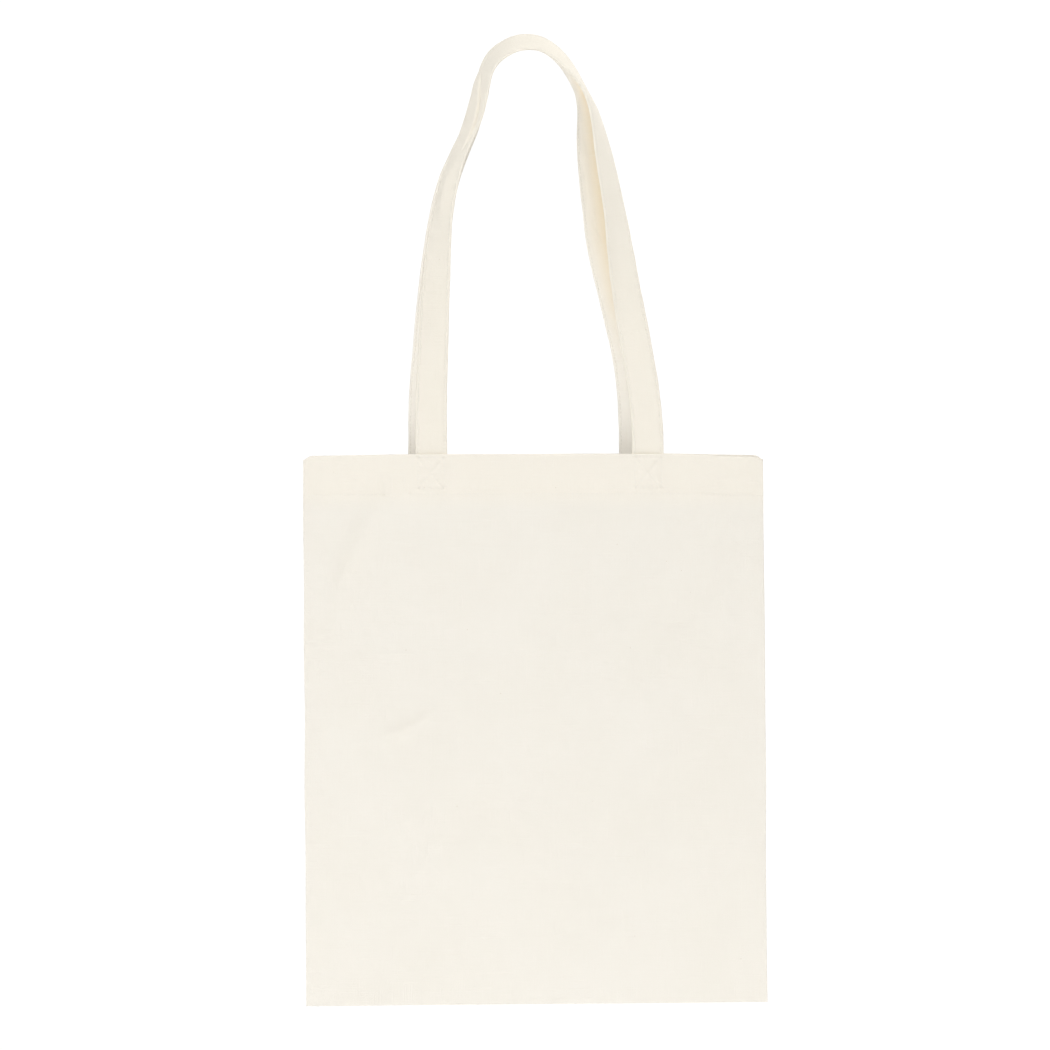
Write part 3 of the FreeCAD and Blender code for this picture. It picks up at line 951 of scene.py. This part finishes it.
def seam_stitches(name, seam, material, node):
    """A seam's stitches, on both faces of its two allowances."""
    rows = []
    for out in (-1.0, 1.0):
        lifted = seam + (0, out * (SEAM_ROLL + CLOTH / 2), 0)
        rows.append((lifted, np.tile([0.0, out, 0.0], (len(seam), 1))))
    stitches(name, rows, material, node)


def seam_threads(front, material):
    """Seam stitching and overlocked raw edges of the two sides and the bottom, inside the bag."""
    t = np.linspace(HEM_DEPTH + SEAM_GAP, HEIGHT - SEAM_FLAP - 0.004, SEAM_POINTS)
    for hand, end in (("left", -1), ("right", 1)):
        raw = seam_line(front, np.full(SEAM_POINTS, end * (HALF_WIDTH - SEAM_FLAP)), t)
        thread_tube(hand + "_overlock_thread", overlock(raw, (-end, 0, 0)), material,
                    hand + "_side_overlock")
        seam = seam_line(front, np.full(SEAM_POINTS, end * (HALF_WIDTH - SEAM_ROW)), t)
        seam_stitches(hand + "_seam_stitches", seam, material, hand + "_side_seam_thread")
    reach = HALF_WIDTH - SEAM_FLAP - SEAM_GAP
    x = np.linspace(-reach, reach, SEAM_POINTS)
    raw = seam_line(front, x, HEIGHT - SEAM_FLAP)
    thread_tube("bottom_overlock_thread", overlock(raw, (0, 0, 1)), material, "bottom_overlock")
    seam = seam_line(front, x, HEIGHT - SEAM_ROW)
    seam_stitches("bottom_seam_stitches", seam, material, "bottom_seam_thread")


# ---------------------------------------------------------------- studio

FLOOR_RADIUS = 1.9
FLOOR_DROP = 0.20           # the floor is this far below the bag
SURROUND_LIGHT = 0.30       # strength of the white surround as a light, and as it is seen
SURROUND_SEEN = 1.05
CAMERA_DISTANCE = 5.0
CAMERA_PLACE = -0.00825, -0.3714    # x and z
FRAMED = 0.8253             # width of what the camera sees at the bag
SENSOR = 36.0               # millimetres, as the lens is


def area_light(name, place, target, size, power):
    """A square softbox that faces a target."""
    lamp = bpy.data.lights.new(name, "AREA")
    lamp.shape = "SQUARE"
    lamp.size = size
    lamp.energy = power
    made = bpy.data.objects.new(name, lamp)
    bpy.context.scene.collection.objects.link(made)
    made.location = place
    made.rotation_euler = (Vector(target) - Vector(place)).to_track_quat("-Z", "Y").to_euler()


def studio():
    """Pale floor, white surround, soft lights and the camera."""
    scene = bpy.context.scene
    scene.view_settings.view_transform = "Standard"
    middle = (cad_box[0] + cad_box[1]) / 2

    bpy.ops.mesh.primitive_circle_add(vertices=96, radius=FLOOR_RADIUS, fill_type="NGON",
                                      location=(0, 0, cad_box[0].z - FLOOR_DROP))
    floor = bpy.context.object
    floor.name = "floor"
    floor.data.materials.append(studio_white("floor_white"))

    world = bpy.data.worlds.new("studio")
    scene.world = world
    world.use_nodes = True
    nodes, links = world.node_tree.nodes, world.node_tree.links
    surround = nodes["Background"]
    surround.inputs["Color"].default_value = (1, 1, 1, 1)
    seen = nodes.new("ShaderNodeLightPath")
    level = nodes.new("ShaderNodeMapRange")
    level.inputs["To Min"].default_value = SURROUND_LIGHT
    level.inputs["To Max"].default_value = SURROUND_SEEN
    links.new(seen.outputs["Is Camera Ray"], level.inputs["Value"])
    links.new(level.outputs[0], surround.inputs["Strength"])

    handles = (0.0, 0.0, -0.14)
    area_light("front", (-0.5, -4.0, 0.4), middle, 1.6, 33.0)
    area_light("left", (-2.3, -1.2, -0.1), middle, 1.2, 17.0)
    area_light("top", (0.15, -0.85, 2.0), handles, 1.2, 29.0)
    area_light("side", (1.55, -0.55, 0.60), handles, 0.7, 8.0)
    area_light("back_key", (1.4, 2.2, 1.0), middle, 1.5, 34.0)
    area_light("back_fill", (-1.6, 2.0, -0.6), middle, 1.4, 15.0)

    camera = bpy.data.cameras.new("camera")
    camera.sensor_width = SENSOR
    camera.lens = SENSOR * CAMERA_DISTANCE / FRAMED
    seat = bpy.data.objects.new("camera", camera)
    scene.collection.objects.link(seat)
    seat.location = (CAMERA_PLACE[0], -CAMERA_DISTANCE, CAMERA_PLACE[1])
    seat.rotation_euler = (math.pi / 2, 0, 0)
    scene.camera = seat


# ---------------------------------------------------------------- the bag

CANVAS_COLOUR = (0.871, 0.840, 0.777)
STRAP_COLOUR = (0.892, 0.850, 0.763)
THREAD_COLOUR = (0.90, 0.865, 0.79)

HEM_CLOTH = HEM_DEPTH + HEM_DEPTH + HEM_TUCK    # cloth used by the hem, outer face included
canvas_cloth = canvas("canvas", CANVAS_COLOUR, double_to=HEM_CLOTH)
# Painted light on the back strap's inner face, and painted warm shade where it lies behind the front
# strap: where the shade begins and is full across the cloth, and its ends along it.
GAP_SHADING_SPAN = (STRAP_WIDTH + 0.002, 2 * STRAP_WIDTH - 0.002), (0.415, 0.66)
strap_canvas = {"front": canvas("handle_webbing", STRAP_COLOUR),
                "back": canvas("shaded_webbing", STRAP_COLOUR, gap_shading=GAP_SHADING_SPAN)}
thread = cotton_thread("thread", THREAD_COLOUR)

# Creases in the panels: the cloth points that each passes, its half width and height.
front_creases = [
    ([(-0.108, 0.020), (-0.131, 0.055), (-0.149, 0.097), (-0.158, 0.150)], 0.0105, -0.0040),
    ([(-0.090, 0.036), (-0.118, 0.080), (-0.136, 0.130)], 0.016, 0.0016),
    ([(-0.1165, 0.018), (-0.1172, 0.033)], 0.0016, -0.0008),
    ([(-0.122, 0.221), (-0.100, 0.213), (-0.076, 0.200)], 0.0050, -0.0024),
    ([(-0.055, 0.165), (-0.010, 0.185), (0.020, 0.225)], 0.012, -0.0007),
    ([(0.150, 0.020), (0.163, 0.090), (0.165, 0.190)], 0.010, -0.0012),
    ([(0.060, 0.040), (0.064, 0.090), (0.050, 0.150)], 0.014, 0.0008)]
back_creases = [
    ([(0.100, 0.024), (0.128, 0.070), (0.146, 0.120)], 0.012, -0.0014),
    ([(-0.130, 0.030), (-0.150, 0.100), (-0.155, 0.180)], 0.011, -0.0013),
    ([(-0.040, 0.230), (0.000, 0.250), (0.060, 0.244)], 0.010, -0.0008),
    ([(0.070, 0.300), (0.100, 0.290), (0.118, 0.272)], 0.005, -0.0009)]

# After the creases: how far the left and the right of the mouth droop, and how far its middle
# and right peek up.
panels = {
    "front": Panel("front", -1, front_creases, (0.0010, 0.0022), 0.0,
                   (FRONT_ROUTE[0][0], FRONT_ROUTE[-1][0]), 11),
    "back": Panel("back", 1, back_creases, (0.0013, 0.0014), 0.0006,
                  (BACK_ROUTE[0][0], BACK_ROUTE[-1][0]), 23)}

# Folds in the straps: the places that each passes, seen from the front, its half width and height.
front_folds = [
    ([(-.0412, -.0170), (-.0430, -.0370), (-.0452, -.0520), (-.0508, -.0680), (-.0560, -.0780)],
     0.0013, -0.0030),
    ([(-.0600, -.0860), (-.0668, -.1010), (-.0710, -.1180), (-.0738, -.1330)], 0.0060, 0.0026),
    ([(.0600, -.1300), (.0640, -.1700), (.0720, -.2200)], 0.0050, -0.0006)]
back_folds = [
    ([(.0375, -.0520), (.0385, -.0900), (.0430, -.1350), (.0520, -.1750)], 0.0060, -0.0026),
    ([(.0440, -.1250), (.0475, -.1420), (.0520, -.1560)], 0.0022, -0.0012),
    ([(-.0830, -.1700), (-.0850, -.2200)], 0.0050, 0.0007)]
straps = {"front": Strap(panels["front"], FRONT_ROUTE, front_folds, 40),
          "back": Strap(panels["back"], BACK_ROUTE, back_folds, 60)}

for side, panel in panels.items():
    strap = straps[side]
    panel_cloth(panel, canvas_cloth)
    strap_cloth(strap, strap_canvas[side])
    strap_stitches(strap, thread)
    hem_stitches(panel, thread)
    for hand, x in zip(("left", "right"), panel.strap_x):
        cross_stitches(panel, strap, hand, x, thread)
seam_threads(panels["front"], thread)

studio()
